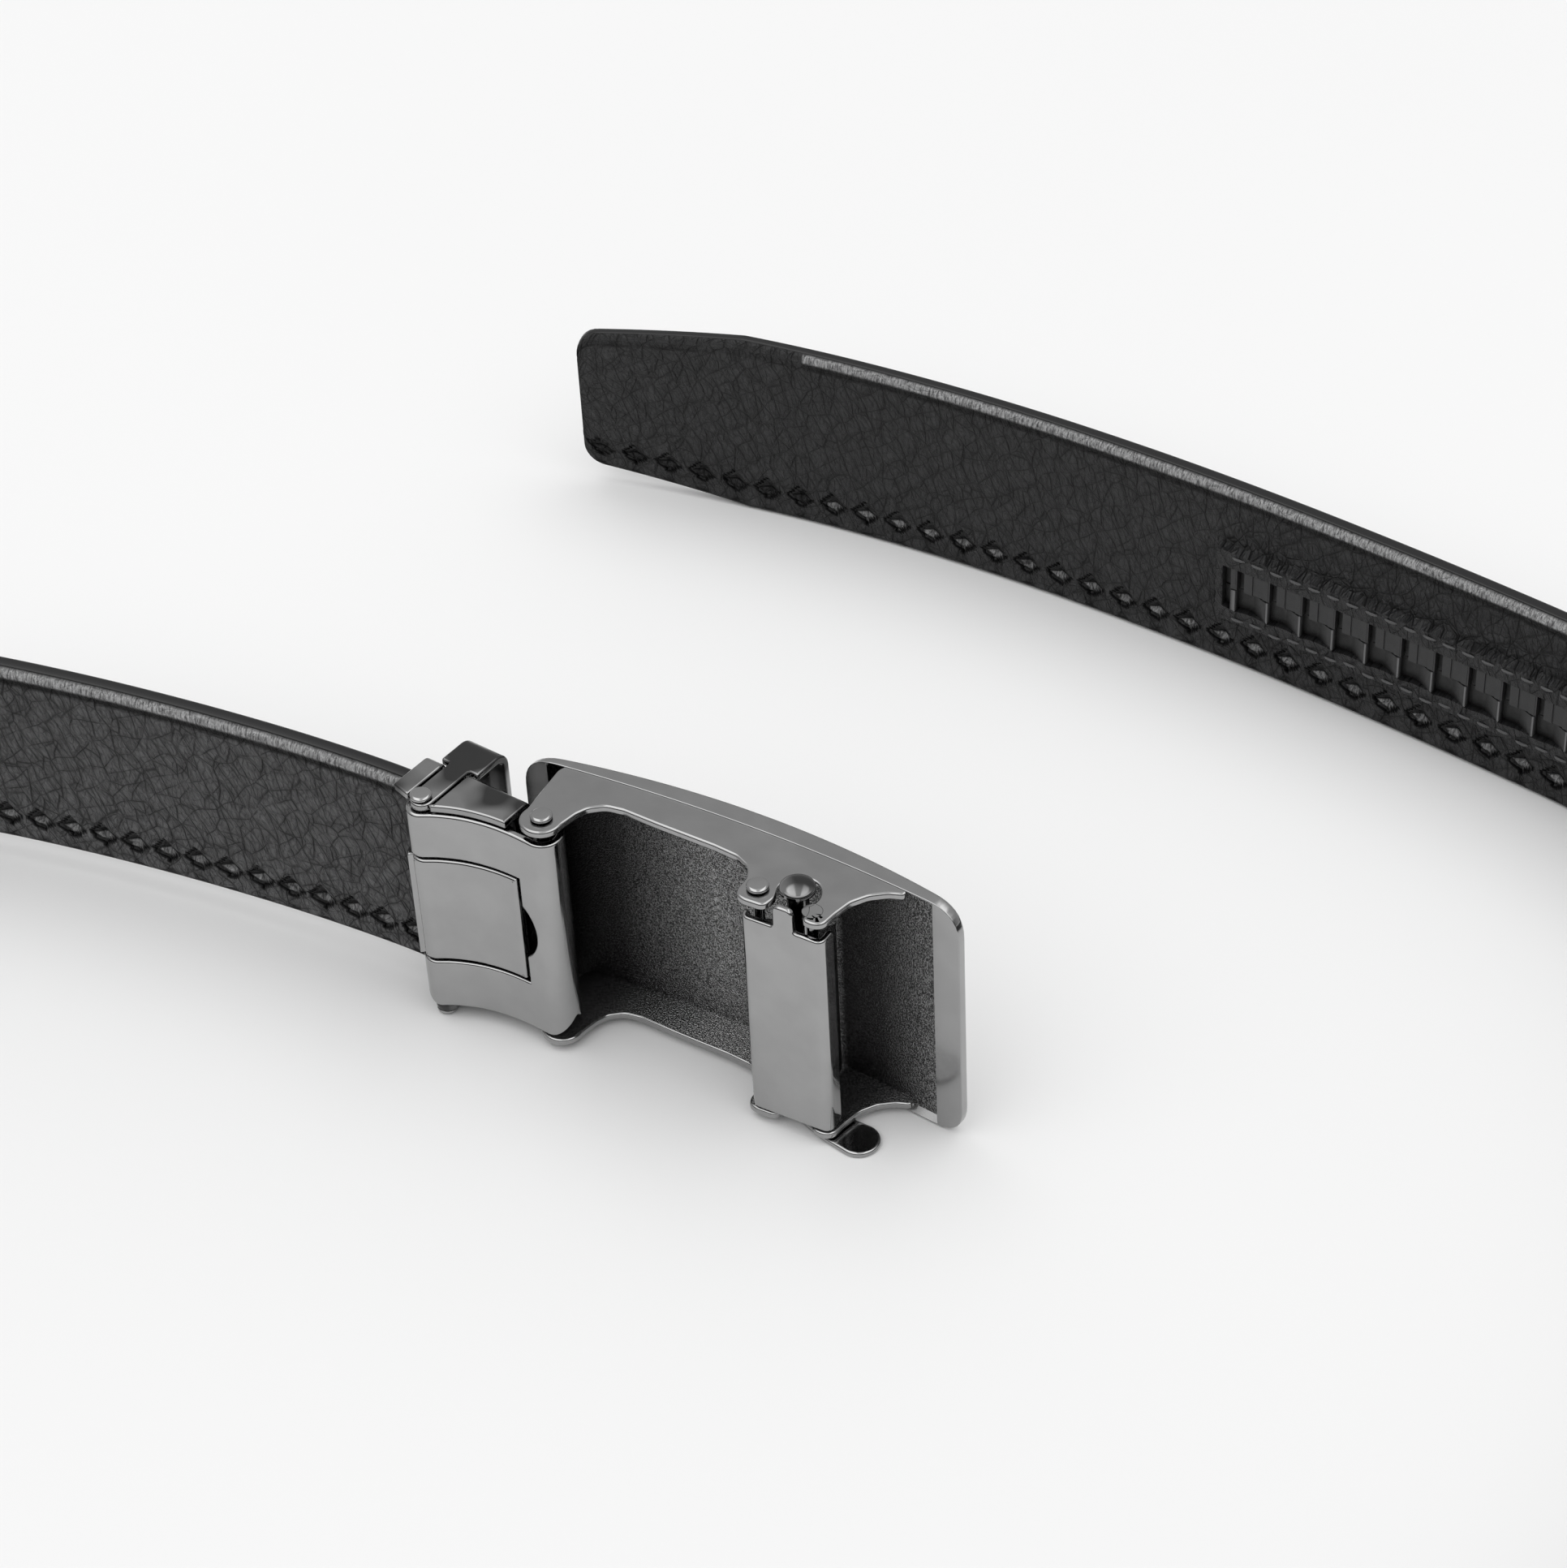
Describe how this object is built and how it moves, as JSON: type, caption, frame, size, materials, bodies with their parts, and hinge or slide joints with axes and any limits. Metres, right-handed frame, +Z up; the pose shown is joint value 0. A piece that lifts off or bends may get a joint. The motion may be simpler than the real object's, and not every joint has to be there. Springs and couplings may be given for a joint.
{
  "type": "ratchet belt",
  "caption": "Leather belt standing on its edge in an open loop, with a hinged metal ratchet buckle, clamp with flap and keeper, and a tooth strip on the tail's inner face.",
  "frame": {"origin": "middle of the object's box in plan, on the surface the belt stands on", "axes": "+X along the buckle plate from its clamp to its free end, +Y from the wearer outward at the buckle, +Z up"},
  "size_m": [0.3844, 0.36, 0.045],
  "materials": {
    "leather": "black pebbled leather, semi-matt",
    "tooth_strip": "black moulded plastic, satin",
    "gunmetal": "polished dark gunmetal plating, fine grain inside the plate"
  },
  "bodies": {
    "belt": {"strap": "leather", "ratchet_track": "tooth_strip", "clamp_channel": "gunmetal", "clamp_cover": "gunmetal", "clamp_pin": "gunmetal", "keeper_loop": "gunmetal"},
    "flap": {"clamp_flap": "gunmetal"},
    "plate": {"buckle_plate": "gunmetal", "hinge_pin": "gunmetal", "bridge_bar": "gunmetal", "bar_pin": "gunmetal", "stop_pin": "gunmetal"},
    "pawl": {"pawl": "gunmetal", "pawl_rod": "gunmetal", "release_lever": "gunmetal"}
  },
  "joints": [
    {"name": "flap_hinge", "type": "hinge", "parent": "belt", "child": "flap", "pos_m": [-0.04091, 0.03869, 0.022], "axis": [0, 0, 1], "range_deg": [-95, 0]},
    {"name": "plate_hinge", "type": "hinge", "parent": "belt", "child": "plate", "pos_m": [-0.02221, 0.04359, 0.022], "axis": [0, 0, 1], "range_deg": [-75, 15]},
    {"name": "pawl_pivot", "type": "hinge", "parent": "plate", "child": "pawl", "pos_m": [0.01279, 0.04859, 0.022], "axis": [0, 0, 1], "range_deg": [-6, 0], "stiffness_Nm_per_rad": 0.05, "springref_deg": 2.86}
  ]
}
